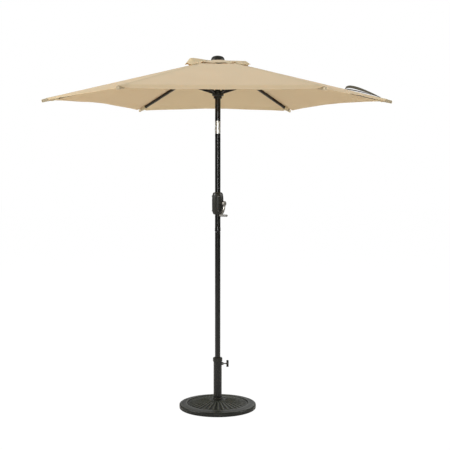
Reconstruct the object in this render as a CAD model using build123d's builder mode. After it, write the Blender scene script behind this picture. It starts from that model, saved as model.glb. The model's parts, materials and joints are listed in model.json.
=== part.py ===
import os
from math import atan2, cos, degrees, hypot, radians, sin, tan

from build123d import *

# Patio umbrella with a round weighted stand. Millimetres, +Z up, origin at the
# centre of the base's underside. Rib 1 points along +X.

# stand
base_radius = 254
base_rim_top = 28
base_ring_inner = 204
base_centre_top = 60
base_rays = 36
stand_tube_radius = 27.5
stand_tube_wall = 2
stand_tube_foot = 14
stand_tube_top = 332
collar_radius = 31.2
collar_height = 26
clamp_z = 294
clamp_screw_radius = 4
clamp_nut_radius = 10
anchor_radius = 5  # bolt from the base up into the tube
anchor_hex = 9.8
anchor_head = 6.4
anchor_washer = 2.5

# pole
pole_radius = 18
pole_bore = 16.7
pole_foot = 44
pole_joint_z = 1174
spigot_length = 112
fit = 0.05  # radial clearance of a running fit
clear = 0.35  # clearance of a loose passage

# crank
crank_z = 1357
crank_heading = -35  # degrees from +X, towards the crank's side
housing_half_height = 73
housing_radius = 37
housing_end_radius = 21
housing_wall = 2.6
crank_shaft_radius = 4
crank_hub_start = 47
crank_arm_end = (-46, -76)
grip_length = 46
grip_radius = 7.5
spool_radius = 7

# tilt joint
tilt_z = 1870
tilt_heading = 30  # degrees from +X, the side that the canopy tilts to
tilt_foot = 1813
tilt_top = 1895
button_z = 1838
tongue_half = 7
tilt_pin_radius = 4
plug_length = 30  # of the joint's ends inside the poles

# canopy frame: the strut is as long as its pivot is from the rib's pivot, so
# the runner stays level and slides straight while the ribs fold
hub_z = 2278
pivot_radius = 30
pin_radius = 2
pin_half = 10
rib_count = 6
rib_slope = 13
fold_angle = 68
rib_length = 1142
rib_width = 13
rib_height = 19
rib_wall = 1.2
strut_reach = 334
strut_drop = 26
strut_width = 10
strut_height = 13
tip_cap_length = 60
finial_radius = 44
finial_top = 2318

# canopy
fabric = 1.2
seat = 11  # height of the fabric's line above the rib's centreline
vent_radius = 215
vent_edge_z = 2264
panel_start = 150
panel_end = 1080
hem_radius = 930  # from the pole's axis to the middle of a hem

fold_arm = hypot(strut_reach, strut_drop)
arm_slope = rib_slope + degrees(atan2(strut_drop, strut_reach))
runner_z = hub_z - 2 * fold_arm * sin(radians(arm_slope))

os.makedirs("parts", exist_ok=True)


def heading(angle):
    return Vector(cos(radians(angle)), sin(radians(angle)), 0)


# stand ----------------------------------------------------------------

ring_crest = (base_ring_inner, base_rim_top + 6)
dome_start = (base_ring_inner - 6, base_rim_top + 1)
dome_mid = (120, 47)
dome_end = (46, base_centre_top - 3)
socket_radius = stand_tube_radius + 0.1
recess_radius = 30
recess_top = 12
anchor_hole = anchor_radius + 0.1
rim_edge = 9

with BuildPart() as base_disc:
    with BuildSketch(Plane.XZ) as base_profile:
        with BuildLine():
            Polyline(
                dome_end,
                (40, base_centre_top),
                (socket_radius, base_centre_top),
                (socket_radius, stand_tube_foot),
                (anchor_hole, stand_tube_foot),
                (anchor_hole, recess_top),
                (recess_radius, recess_top),
                (recess_radius, 0),
                (base_radius - 5, 0),
                (base_radius, 5),
                (base_radius, base_rim_top - rim_edge),
            )
            RadiusArc(
                (base_radius, base_rim_top - rim_edge),
                (base_radius - rim_edge, base_rim_top),
                -rim_edge,
            )
            Line((base_radius - rim_edge, base_rim_top), ring_crest)
            Line(ring_crest, dome_start)
            ThreePointArc(dome_start, dome_mid, dome_end)
        make_face()
    revolve(axis=Axis.Z)

# the sunburst: low rays that stand proud of the dome
ray_outer = (base_ring_inner - 12, base_rim_top + 3.5)
ray_inner = (56, dome_end[1] + 0.8)
ray_crown = (dome_mid[0], dome_mid[1] + 2.2)
with BuildPart() as sunburst:
    with BuildSketch(Plane.XZ):
        with BuildLine():
            ThreePointArc(ray_outer, ray_crown, ray_inner)
            Polyline(ray_inner, (ray_inner[0], 30), (ray_outer[0], 20), ray_outer)
        make_face()
    revolve(axis=Axis.Z)
    with BuildSketch():
        with PolarLocations(0, base_rays):
            with BuildLine():
                Polyline((54, -1.6), (base_ring_inner, -5.4), (base_ring_inner, 5.4),
                         (54, 1.6), close=True)
            make_face()
    extrude(amount=80, mode=Mode.INTERSECT)
with base_disc:
    add(sunburst.part)
base_disc.part.label = "base_disc"
export_step(base_disc.part, "parts/base_disc.step")

with BuildPart() as stand_tube:
    with BuildSketch(Plane.XY.offset(stand_tube_foot)):
        Circle(stand_tube_radius)
    extrude(amount=stand_tube_top - stand_tube_foot)
    with BuildSketch(Plane.XY.offset(stand_tube_foot + 4)):
        Circle(stand_tube_radius - stand_tube_wall)
    extrude(amount=stand_tube_top, mode=Mode.SUBTRACT)
    with BuildSketch(Plane.XY.offset(stand_tube_foot)):
        Circle(anchor_hole)
    extrude(amount=5, mode=Mode.SUBTRACT)
    with BuildSketch(Plane((0, 0, clamp_z), x_dir=(0, 1, 0), z_dir=(1, 0, 0))):
        Circle(clamp_screw_radius + clear)
    extrude(amount=stand_tube_radius + 5, mode=Mode.SUBTRACT)
stand_tube.part.label = "stand_tube"
export_step(stand_tube.part, "parts/stand_tube.step")

with BuildPart() as tube_foot_ring:
    with BuildSketch(Plane.XY.offset(base_centre_top)):
        Circle(stand_tube_radius + 5)
        Circle(stand_tube_radius + 0.1, mode=Mode.SUBTRACT)
    extrude(amount=7)
    chamfer(tube_foot_ring.edges().group_by(Axis.Z)[-1].sort_by(SortBy.RADIUS)[-1], 2.5)
tube_foot_ring.part.label = "tube_foot_ring"
export_step(tube_foot_ring.part, "parts/tube_foot_ring.step")

collar_bore = pole_radius + clear
collar_foot = stand_tube_top + 4 - collar_height
sleeve_foot = 262
sleeve_radius = stand_tube_radius - stand_tube_wall - 0.1
with BuildPart() as tube_collar:
    with BuildSketch(Plane.XZ):
        with BuildLine():
            Polyline(
                (collar_bore, sleeve_foot),
                (sleeve_radius, sleeve_foot),
                (sleeve_radius, stand_tube_top),
                (stand_tube_radius + 0.1, stand_tube_top),
                (stand_tube_radius + 0.1, collar_foot),
                (collar_radius, collar_foot),
                (collar_radius, stand_tube_top),
                (collar_radius - 4, stand_tube_top + 4),
                (collar_bore + 1.5, stand_tube_top + 4),
                (collar_bore, stand_tube_top + 2.5),
                close=True,
            )
        make_face()
    revolve(axis=Axis.Z)
    with BuildSketch(Plane((0, 0, clamp_z), x_dir=(0, 1, 0), z_dir=(1, 0, 0))):
        Circle(clamp_screw_radius + clear)
    extrude(amount=stand_tube_radius, mode=Mode.SUBTRACT)
tube_collar.part.label = "tube_collar"
export_step(tube_collar.part, "parts/tube_collar.step")

nut_end = 39
clamp_plane = Plane((stand_tube_radius - 1, 0, clamp_z), x_dir=(0, 1, 0), z_dir=(1, 0, 0))
with BuildPart() as clamp_nut:
    with BuildSketch(clamp_plane):
        Circle(clamp_nut_radius)
        Circle(clamp_screw_radius + fit, mode=Mode.SUBTRACT)
    extrude(amount=nut_end - stand_tube_radius + 1)
    with BuildSketch(Plane.XY.offset(clamp_z - 20)):
        Circle(stand_tube_radius)
    extrude(amount=40, mode=Mode.SUBTRACT)
    chamfer(clamp_nut.edges().group_by(Axis.X)[-1].sort_by(SortBy.RADIUS)[-1], 1.2)
clamp_nut.part.label = "clamp_nut"
export_step(clamp_nut.part, "parts/clamp_nut.step")

# bolt, washer and nut that hold the tube down on the base
with BuildPart() as anchor_hardware:
    with BuildSketch(Plane.XY.offset(recess_top - anchor_washer)):
        Circle(14)
        Circle(anchor_hole, mode=Mode.SUBTRACT)
    extrude(amount=anchor_washer)
    with BuildSketch(Plane.XY.offset(stand_tube_foot + 4)):
        RegularPolygon(anchor_hex, 6)
        Circle(anchor_radius, mode=Mode.SUBTRACT)
    extrude(amount=8)
with BuildPart() as anchor_bolt:
    with BuildSketch(Plane.XY.offset(recess_top - anchor_washer - anchor_head)):
        RegularPolygon(anchor_hex, 6)
    extrude(amount=anchor_head)
    with BuildSketch(Plane.XY.offset(recess_top - anchor_washer)):
        Circle(anchor_radius)
    extrude(amount=24)
with anchor_hardware:
    add(anchor_bolt.part)
anchor_hardware.part.label = "anchor_hardware"
export_step(anchor_hardware.part, "parts/anchor_hardware.step")

# clamp screw ----------------------------------------------------------

knob_start = 58
knob_depth = 15
knob_socket = 10
screw_start = pole_radius + 0.5
knob_plane = Plane((knob_start, 0, clamp_z), x_dir=(0, 1, 0), z_dir=(1, 0, 0))
with BuildPart() as clamp_screw:
    with BuildSketch(Plane((screw_start, 0, clamp_z), x_dir=(0, 1, 0), z_dir=(1, 0, 0))):
        Circle(clamp_screw_radius)
    extrude(amount=knob_start + knob_socket - screw_start)
    chamfer(clamp_screw.edges().group_by(Axis.X)[0], 1)
clamp_screw.part.label = "clamp_screw"
export_step(clamp_screw.part, "parts/clamp_screw.step")

with BuildPart() as clamp_knob:
    with BuildSketch(knob_plane):
        Ellipse(11, 23)
    extrude(amount=knob_depth)
    fillet(clamp_knob.edges().group_by(Axis.X)[-1], 4)
    fillet(clamp_knob.edges().group_by(Axis.X)[0], 2)
    with BuildSketch(knob_plane):
        Circle(clamp_screw_radius)
    extrude(amount=knob_socket, mode=Mode.SUBTRACT)
clamp_knob.part.label = "clamp_knob"
export_step(clamp_knob.part, "parts/clamp_knob.step")

# lower pole -----------------------------------------------------------

spigot_radius = pole_bore - fit
spigot_top = pole_joint_z + spigot_length
pole_wall = 1.5
lower_radius = pole_radius - 0.1
with BuildPart() as lower_pole:
    with BuildSketch(Plane.XZ):
        with BuildLine():
            Polyline(
                (lower_radius, pole_foot),
                (lower_radius, pole_joint_z - 8),
                (spigot_radius, pole_joint_z - 2),
                (spigot_radius, spigot_top - 4),
                (spigot_radius - 1, spigot_top),
                (spigot_radius - pole_wall, spigot_top),
                (spigot_radius - pole_wall, pole_joint_z - 4),
                (pole_radius - pole_wall, pole_joint_z - 10),
                (pole_radius - pole_wall, pole_foot),
                close=True,
            )
        make_face()
    revolve(axis=Axis.Z)
lower_pole.part.label = "lower_pole"
export_step(lower_pole.part, "parts/lower_pole.step")

with BuildPart() as pole_foot_plug:
    with BuildSketch(Plane.XY.offset(pole_foot - 8)):
        Circle(stand_tube_radius - stand_tube_wall - 0.4)
    extrude(amount=8)
    with BuildSketch(Plane.XY.offset(pole_foot)):
        Circle(pole_radius - 1.6)
    extrude(amount=24)
    chamfer(pole_foot_plug.edges().group_by(Axis.Z)[-1], 2)
pole_foot_plug.part.label = "pole_foot_plug"
export_step(pole_foot_plug.part, "parts/pole_foot_plug.step")

# mast -----------------------------------------------------------------

crank_dir = heading(crank_heading)
crank_side = heading(crank_heading + 90)


def crank_plane(reach):
    origin = crank_dir * reach + Vector(0, 0, crank_z)
    return Plane(origin, x_dir=crank_side, z_dir=crank_dir)


flare = 1.3
with BuildPart() as mast_tube:
    with BuildSketch(Plane.XZ):
        with BuildLine():
            Polyline(
                (pole_bore, pole_joint_z),
                (pole_radius + flare - 0.6, pole_joint_z),
                (pole_radius + flare, pole_joint_z + 1.5),
                (pole_radius + flare, pole_joint_z + 6),
                (pole_radius, pole_joint_z + 32),
                (pole_radius, tilt_foot),
                (pole_bore, tilt_foot),
                close=True,
            )
        make_face()
    revolve(axis=Axis.Z)
    with BuildSketch(crank_plane(-pole_radius - 4)):
        Circle(crank_shaft_radius + clear)
    extrude(amount=2 * pole_radius + 8, mode=Mode.SUBTRACT)
mast_tube.part.label = "mast_tube"
export_step(mast_tube.part, "parts/mast_tube.step")

# the housing is a barrel round the mast, in two halves that meet on the crank's axis
neck_radius = 13
neck_end = crank_hub_start - 1
screw_rise = 38
screw_side = 25.5
low_end = crank_z - housing_half_height
high_end = crank_z + housing_half_height
inner_end = housing_end_radius - 0.8
with BuildPart() as crank_housing:
    with BuildSketch(Plane.XZ):
        with BuildLine():
            ThreePointArc(
                (housing_end_radius, low_end), (housing_radius, crank_z),
                (housing_end_radius, high_end),
            )
            Line((housing_end_radius, high_end), (pole_radius + 0.1, high_end))
            Line((pole_radius + 0.1, high_end), (pole_radius + 0.1, high_end - 3))
            Line((pole_radius + 0.1, high_end - 3), (inner_end, high_end - 3))
            ThreePointArc(
                (inner_end, high_end - 3), (housing_radius - housing_wall, crank_z),
                (inner_end, low_end + 3),
            )
            Line((inner_end, low_end + 3), (pole_radius + 0.1, low_end + 3))
            Line((pole_radius + 0.1, low_end + 3), (pole_radius + 0.1, low_end))
            Line((pole_radius + 0.1, low_end), (housing_end_radius, low_end))
        make_face()
    revolve(axis=Axis.Z)
    with BuildSketch(crank_plane(pole_radius + 1)):
        Circle(neck_radius)
    extrude(amount=neck_end - pole_radius - 1)
    with BuildSketch(crank_plane(0)):
        Circle(crank_shaft_radius + fit)
    extrude(amount=neck_end + 5, mode=Mode.SUBTRACT)
    with BuildSketch(Plane.XY.offset(low_end - 1)):
        Circle(pole_radius + 0.1)
    extrude(amount=2 * housing_half_height + 2, mode=Mode.SUBTRACT)

# screw bosses stand across the seam, beside the mast
seam_normal = crank_side
screw_spots = [
    (crank_dir * (side * screw_side) + Vector(0, 0, crank_z + rise))
    for side in (-1, 1)
    for rise in (-screw_rise, screw_rise)
]
boss_half = 20
with BuildPart() as housing_bosses:
    for spot in screw_spots:
        with BuildSketch(Plane(spot - seam_normal * boss_half, z_dir=seam_normal)):
            Circle(4.6)
        extrude(amount=2 * boss_half)
    with BuildSketch(Plane.XZ):
        with BuildLine():
            ThreePointArc((housing_end_radius, low_end), (housing_radius - 0.5, crank_z),
                          (housing_end_radius, high_end))
            Line((housing_end_radius, high_end), (0, high_end))
            Line((0, high_end), (0, low_end))
            Line((0, low_end), (housing_end_radius, low_end))
        make_face()
    revolve(axis=Axis.Z, mode=Mode.INTERSECT)
with crank_housing:
    add(housing_bosses.part)
    for spot in screw_spots:
        with BuildSketch(Plane(spot + seam_normal * 40, z_dir=-seam_normal)):
            Circle(1.7)
        extrude(amount=80, mode=Mode.SUBTRACT)
        with BuildSketch(Plane(spot - seam_normal * 14, z_dir=-seam_normal)):
            Circle(3.2)
        extrude(amount=30, mode=Mode.SUBTRACT)

halves = {"crank_housing_rear": Keep.TOP, "crank_housing_front": Keep.BOTTOM}
for name, side in halves.items():
    with BuildPart() as half:
        add(crank_housing.part)
        split(bisect_by=Plane((0, 0, crank_z), z_dir=seam_normal), keep=side)
    half.part.label = name
    export_step(half.part, f"parts/{name}.step")

with BuildPart() as housing_screws:
    for spot in screw_spots:
        with BuildSketch(Plane(spot - seam_normal * 16, z_dir=seam_normal)):
            Circle(3)
        extrude(amount=2)
        with BuildSketch(Plane(spot - seam_normal * 14, z_dir=seam_normal)):
            Circle(1.6)
        extrude(amount=26)
housing_screws.part.label = "housing_screws"
export_step(housing_screws.part, "parts/housing_screws.step")

# tilt joint, drawn with the tilt's side as local x
tilt_dir = heading(tilt_heading)
tilt_axis = heading(tilt_heading + 90)
tilt_side = Plane((0, 0, tilt_z), x_dir=tilt_dir, z_dir=-tilt_axis)
slot_floor = 18.5
cheek_radius = 17.6
button_bore = 6.02
bore_end = 4
cord_radius = 1.5
cord_spot = crank_side * (spool_radius + cord_radius + 0.3)


def tilt_level(z):
    return Plane((0, 0, z), x_dir=tilt_dir, z_dir=(0, 0, 1))


with BuildPart() as tilt_knuckle_lower:
    with BuildSketch(tilt_level(tilt_foot)):
        Circle(pole_radius)
    extrude(amount=tilt_z + cheek_radius - tilt_foot)
    with BuildSketch(tilt_side):
        Circle(cheek_radius)
        with Locations((0, (tilt_foot - tilt_z) / 2)):
            Rectangle(2 * pole_radius, tilt_z - tilt_foot)
    extrude(amount=pole_radius, both=True, mode=Mode.INTERSECT)
    with BuildSketch(tilt_level(tilt_z - slot_floor)):
        Rectangle(3 * pole_radius, 2 * tongue_half + 0.8)
    extrude(amount=60, mode=Mode.SUBTRACT)
    with BuildSketch(tilt_level(tilt_foot)):
        Circle(pole_bore - 0.1)
    extrude(amount=-plug_length)
    with BuildSketch(Plane(tilt_dir * bore_end + Vector(0, 0, button_z), z_dir=-tilt_dir)):
        Circle(button_bore)
    extrude(amount=40, mode=Mode.SUBTRACT)
    with BuildSketch(tilt_side):
        Circle(tilt_pin_radius)
    extrude(amount=30, both=True, mode=Mode.SUBTRACT)
    with BuildSketch(Plane(cord_spot + Vector(0, 0, tilt_foot - 31))):
        Circle(cord_radius + 0.8)
    extrude(amount=120, mode=Mode.SUBTRACT)
tilt_knuckle_lower.part.label = "tilt_knuckle_lower"
export_step(tilt_knuckle_lower.part, "parts/tilt_knuckle_lower.step")

with BuildPart() as tilt_pin:
    with BuildSketch(tilt_side):
        Circle(tilt_pin_radius)
    extrude(amount=pole_radius - 1.2, both=True)
tilt_pin.part.label = "tilt_pin"
export_step(tilt_pin.part, "parts/tilt_pin.step")

# spring behind the tilt button
button_tail = -7
spring_wire = 0.8
with BuildPart() as tilt_spring:
    with BuildLine():
        coil = Helix(
            pitch=2.2, height=bore_end - button_tail - 1.2, radius=3.6,
            center=tilt_dir * (button_tail + 0.6) + Vector(0, 0, button_z), direction=tilt_dir,
        )
    with BuildSketch(Plane(coil @ 0, z_dir=coil % 0)):
        Circle(spring_wire / 2)
    sweep()
tilt_spring.part.label = "tilt_spring"
export_step(tilt_spring.part, "parts/tilt_spring.step")

with BuildPart() as lift_cord_lower:
    with BuildSketch(Plane(cord_spot + Vector(0, 0, crank_z))):
        Circle(cord_radius)
    extrude(amount=tilt_z - slot_floor - 1 - crank_z)
lift_cord_lower.part.label = "lift_cord_lower"
export_step(lift_cord_lower.part, "parts/lift_cord_lower.step")

# crank ----------------------------------------------------------------

shaft_tail = 24
crank_axis = Axis(origin=(0, 0, 0), direction=crank_dir)


def along_crank(part):
    """A part's round edges, in order along the crank's axis."""
    return part.edges().filter_by(GeomType.CIRCLE).sort_by(crank_axis)


with BuildPart() as crank_shaft:
    with BuildSketch(crank_plane(-shaft_tail)):
        Circle(crank_shaft_radius)
    extrude(amount=shaft_tail + crank_hub_start + 6)
    chamfer(along_crank(crank_shaft)[0], 0.8)
crank_shaft.part.label = "crank_shaft"
export_step(crank_shaft.part, "parts/crank_shaft.step")

spool_half = 8
flange_radius = 12.5
flange = 1.5
with BuildPart() as cord_spool:
    for start in (-spool_half, spool_half - flange):
        with BuildSketch(crank_plane(start)):
            Circle(flange_radius)
        extrude(amount=flange)
    with BuildSketch(crank_plane(-spool_half)):
        Circle(spool_radius)
    extrude(amount=2 * spool_half)
    with BuildSketch(crank_plane(-spool_half)):
        Circle(crank_shaft_radius)
    extrude(amount=2 * spool_half, mode=Mode.SUBTRACT)
cord_spool.part.label = "cord_spool"
export_step(cord_spool.part, "parts/cord_spool.step")

arm_thickness = 6
rivet_radius = 2.5
arm_level = crank_hub_start + 3
with BuildPart() as crank_arm:
    with BuildSketch(crank_plane(crank_hub_start)):
        Circle(16.5)
    extrude(amount=12)
    fillet(along_crank(crank_arm)[-1], 4)
    with BuildSketch(crank_plane(arm_level)):
        with BuildLine():
            arm_line = ThreePointArc((0, 0), (-11, -48), crank_arm_end)
        SlotArc(arm_line, 12, mode=Mode.ADD)
        with Locations(crank_arm_end):
            Circle(8)
    extrude(amount=arm_thickness)
    with BuildSketch(crank_plane(crank_hub_start)):
        Circle(crank_shaft_radius)
    extrude(amount=6, mode=Mode.SUBTRACT)
    with BuildSketch(crank_plane(arm_level)):
        with Locations(crank_arm_end):
            Circle(rivet_radius)
    extrude(amount=arm_thickness, mode=Mode.SUBTRACT)
crank_arm.part.label = "crank_arm"
export_step(crank_arm.part, "parts/crank_arm.step")

grip_start = arm_level + arm_thickness + 1
with BuildPart() as grip_rivet:
    with BuildSketch(crank_plane(arm_level)):
        with Locations(crank_arm_end):
            Circle(rivet_radius)
    extrude(amount=grip_start + grip_length - arm_level + 1)
    with BuildSketch(crank_plane(grip_start + grip_length + 0.6)):
        with Locations(crank_arm_end):
            Circle(5)
    extrude(amount=2.4)
    fillet(along_crank(grip_rivet)[-1], 1.5)
grip_rivet.part.label = "grip_rivet"
export_step(grip_rivet.part, "parts/grip_rivet.step")

with BuildPart() as crank_grip:
    with BuildSketch(crank_plane(grip_start)):
        with Locations(crank_arm_end):
            Circle(grip_radius)
    extrude(amount=grip_length)
    fillet(crank_grip.edges().filter_by(GeomType.CIRCLE), 2)
    with BuildSketch(crank_plane(grip_start)):
        with Locations(crank_arm_end):
            Circle(rivet_radius + fit)
    extrude(amount=grip_length, mode=Mode.SUBTRACT)
crank_grip.part.label = "crank_grip"
export_step(crank_grip.part, "parts/crank_grip.step")

# tilt button ----------------------------------------------------------

button_proud = 2
tilt_line = Axis(origin=(0, 0, 0), direction=tilt_dir)
with BuildPart() as tilt_button:
    with BuildSketch(Plane(tilt_dir * button_tail + Vector(0, 0, button_z), z_dir=-tilt_dir)):
        Circle(button_bore - 0.07)
    extrude(amount=pole_radius + button_proud + button_tail)
    fillet(tilt_button.edges().filter_by(GeomType.CIRCLE).sort_by(tilt_line)[0], 1.5)
tilt_button.part.label = "tilt_button"
export_step(tilt_button.part, "parts/tilt_button.step")

# head -----------------------------------------------------------------

shoulder = tilt_z + slot_floor
tongue_radius = 17.5
with BuildPart() as tilt_knuckle_upper:
    with BuildSketch(tilt_level(tilt_z - 18)):
        Circle(pole_radius)
    extrude(amount=tilt_top - tilt_z + 18)
    with BuildSketch(tilt_side):
        Circle(tongue_radius)
        with Locations((0, (tilt_top - tilt_z) / 2)):
            Rectangle(2 * tongue_radius, tilt_top - tilt_z)
    extrude(amount=tongue_half, both=True, mode=Mode.INTERSECT)
    with BuildSketch(tilt_level(shoulder)):
        Circle(pole_radius)
    extrude(amount=tilt_top - shoulder)
    with BuildSketch(tilt_level(tilt_top)):
        Circle(pole_bore - 0.1)
    extrude(amount=plug_length)
    with BuildSketch(tilt_side):
        Circle(tilt_pin_radius + fit)
    extrude(amount=30, both=True, mode=Mode.SUBTRACT)
    with BuildSketch(Plane(cord_spot + Vector(0, 0, tilt_z - 20))):
        Circle(cord_radius + 0.8)
    extrude(amount=100, mode=Mode.SUBTRACT)
tilt_knuckle_upper.part.label = "tilt_knuckle_upper"
export_step(tilt_knuckle_upper.part, "parts/tilt_knuckle_upper.step")

hub_foot = hub_z - 18
hub_top = hub_z + 8.5
with BuildPart() as upper_pole:
    with BuildSketch(Plane.XY.offset(tilt_top)):
        Circle(pole_radius)
        Circle(pole_bore, mode=Mode.SUBTRACT)
    extrude(amount=hub_foot - tilt_top)
upper_pole.part.label = "upper_pole"
export_step(upper_pole.part, "parts/upper_pole.step")

hub_radius = 38
slot_start = 21
eye_width = 9.6
pulley_y = 12
pulley_z = hub_z - 6
pulley_radius = 10
pulley_groove = 8
boss_height = 12
rib_places = PolarLocations(0, rib_count)
with BuildPart() as top_hub:
    with BuildSketch(Plane.XY.offset(hub_foot)):
        Circle(hub_radius)
    extrude(amount=hub_top - hub_foot)
    with BuildSketch(Plane.XY.offset(hub_top)):
        Circle(10)
    extrude(amount=boss_height)
    with BuildSketch(Plane.XY.offset(hub_foot - 1)):
        with rib_places:
            with Locations((slot_start + 15, 0)):
                Rectangle(30, eye_width + 1)
    extrude(amount=hub_top - hub_foot + 2, mode=Mode.SUBTRACT)
    with BuildSketch(Plane.XY.offset(hub_foot)):
        Circle(pole_bore - 0.1)
    extrude(amount=-28)
    with BuildSketch(Plane.XY.offset(hub_foot - 30)):
        with Locations((0, 2)):
            Circle(7)
    extrude(amount=32, mode=Mode.SUBTRACT)
    with BuildSketch(Plane.XY.offset(hub_foot)):
        with Locations((0, 12.5)):
            Rectangle(7.8, 25)
    extrude(amount=24, mode=Mode.SUBTRACT)
    # holes for the rib pins and the pulley's axle
    for place in rib_places:
        pin_at = (place * Location((pivot_radius, 0, hub_z))).position
        across = (place * Location((0, 1, 0))).position
        with BuildSketch(Plane(pin_at, z_dir=across)):
            Circle(pin_radius)
        extrude(amount=pin_half, both=True, mode=Mode.SUBTRACT)
    with BuildSketch(Plane((0, pulley_y, pulley_z), z_dir=(1, 0, 0))):
        Circle(pin_radius)
    extrude(amount=8, both=True, mode=Mode.SUBTRACT)
top_hub.part.label = "top_hub"
export_step(top_hub.part, "parts/top_hub.step")

with BuildPart() as hub_pins:
    for place in rib_places:
        pin_at = (place * Location((pivot_radius, 0, hub_z))).position
        across = (place * Location((0, 1, 0))).position
        with BuildSketch(Plane(pin_at, z_dir=across)):
            Circle(pin_radius)
        extrude(amount=pin_half, both=True)
    with BuildSketch(Plane((0, pulley_y, pulley_z), z_dir=(1, 0, 0))):
        Circle(pin_radius)
    extrude(amount=8, both=True)
hub_pins.part.label = "hub_pins"
export_step(hub_pins.part, "parts/hub_pins.step")

finial_foot = hub_top + 2
with BuildPart() as finial:
    with BuildSketch(Plane.XZ):
        with BuildLine():
            Polyline(
                (0, finial_top), (0, hub_top + boss_height), (10.05, hub_top + boss_height),
                (10.05, finial_foot + 5), (36, finial_foot + 5), (41, finial_foot),
                (finial_radius, finial_foot), (finial_radius, finial_foot + 5),
            )
            Spline((finial_radius, finial_foot + 5), (34, finial_top - 8), (16, finial_top - 1.5),
                   (0, finial_top), tangents=((-0.35, 1), (-1, 0)))
        make_face()
    revolve(axis=Axis.Z)
finial.part.label = "finial"
export_step(finial.part, "parts/finial.step")

# the top tier: a shallow six-sided cap, a little dished, whose rim turns down to an open hem
vent_flat = 46
vent_shoulder = 176
vent_shoulder_z = 2293
vent_top = hub_top + 0.3 + fabric
with BuildPart() as vent_shape:
    with BuildSketch(Plane.XY.offset(vent_edge_z)):
        RegularPolygon(vent_radius, rib_count)
    with BuildSketch(Plane.XY.offset(vent_shoulder_z)):
        RegularPolygon(vent_shoulder, rib_count)
    loft()
    with BuildSketch(Plane.XY.offset(vent_top)):
        RegularPolygon(vent_flat, rib_count)
    with BuildSketch(Plane.XY.offset(vent_shoulder_z)):
        RegularPolygon(vent_shoulder, rib_count)
    loft(mode=Mode.SUBTRACT)
with BuildPart() as vent_canopy:
    add(vent_shape.part)
    add(vent_shape.part.moved(Location((0, 0, -fabric))), mode=Mode.SUBTRACT)
    with BuildSketch(Plane.XY.offset(hub_top)):
        Circle(10.3)
    extrude(amount=10, mode=Mode.SUBTRACT)
vent_canopy.part.label = "vent_canopy"
export_step(vent_canopy.part, "parts/vent_canopy.step")

# lift cord from the tilt joint over the pulley and down to the runner
cord_turn = pulley_groove + cord_radius + 0.2
cord_in = pulley_y - cord_turn
cord_out = pulley_y + cord_turn
cord_x, cord_y = cord_spot.X, cord_spot.Y
with BuildPart() as lift_cord_upper:
    with BuildLine():
        rise = FilletPolyline(
            (cord_x, cord_y, tilt_z - 8), (cord_x, cord_y, tilt_z + 80),
            (0, cord_in, hub_foot - 60), (0, cord_in, pulley_z), radius=800,
        )
        over = ThreePointArc(
            (0, cord_in, pulley_z), (0, pulley_y, pulley_z + cord_turn), (0, cord_out, pulley_z)
        )
        Line((0, cord_out, pulley_z), (0, cord_out, runner_z + 12))
    with BuildSketch(Plane(rise @ 0, z_dir=(0, 0, 1))):
        Circle(cord_radius)
    sweep()
lift_cord_upper.part.label = "lift_cord_upper"
export_step(lift_cord_upper.part, "parts/lift_cord_upper.step")

pulley_half = 3.2
with BuildPart() as cord_pulley:
    for start in (-pulley_half, pulley_half - 1):
        with BuildSketch(Plane((start, pulley_y, pulley_z), z_dir=(1, 0, 0))):
            Circle(pulley_radius)
        extrude(amount=1)
    with BuildSketch(Plane((-pulley_half, pulley_y, pulley_z), z_dir=(1, 0, 0))):
        Circle(pulley_groove - 0.2)
    extrude(amount=2 * pulley_half)
    with BuildSketch(Plane((-pulley_half, pulley_y, pulley_z), z_dir=(1, 0, 0))):
        Circle(pin_radius + fit)
    extrude(amount=2 * pulley_half, mode=Mode.SUBTRACT)
cord_pulley.part.label = "cord_pulley"
export_step(cord_pulley.part, "parts/cord_pulley.step")

# runner ---------------------------------------------------------------

runner_bore = pole_radius + 1
with BuildPart() as runner:
    with BuildSketch(Plane.XY.offset(runner_z - 20)):
        Circle(hub_radius)
    extrude(amount=30)
    chamfer(runner.edges().group_by(Axis.Z)[0], 4)
    with BuildSketch(Plane.XY.offset(runner_z - 36)):
        Circle(27)
    extrude(amount=20)
    with BuildSketch(Plane.XY.offset(runner_z - 37)):
        Circle(runner_bore)
    extrude(amount=60, mode=Mode.SUBTRACT)
    # the groove that passes over the tilt button
    with BuildSketch(Plane((0, 0, runner_z - 37), x_dir=-tilt_dir, z_dir=(0, 0, 1))):
        with Locations((16, 0)):
            Rectangle(12.4, 14)
    extrude(amount=60, mode=Mode.SUBTRACT)
    with BuildSketch(Plane.XY.offset(runner_z - 9)):
        with rib_places:
            with Locations((22 + 15, 0)):
                Rectangle(30, strut_width + 1)
    extrude(amount=30, mode=Mode.SUBTRACT)
    for place in rib_places:
        pin_at = (place * Location((pivot_radius, 0, runner_z))).position
        across = (place * Location((0, 1, 0))).position
        with BuildSketch(Plane(pin_at, z_dir=across)):
            Circle(pin_radius)
        extrude(amount=pin_half, both=True, mode=Mode.SUBTRACT)
runner.part.label = "runner"
export_step(runner.part, "parts/runner.step")

with BuildPart() as runner_pins:
    for place in rib_places:
        pin_at = (place * Location((pivot_radius, 0, runner_z))).position
        across = (place * Location((0, 1, 0))).position
        with BuildSketch(Plane(pin_at, z_dir=across)):
            Circle(pin_radius)
        extrude(amount=pin_half, both=True)
runner_pins.part.label = "runner_pins"
export_step(runner_pins.part, "parts/runner_pins.step")

# ribs -----------------------------------------------------------------
# drawn once along local x from the hub pivot, with local z up

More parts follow.
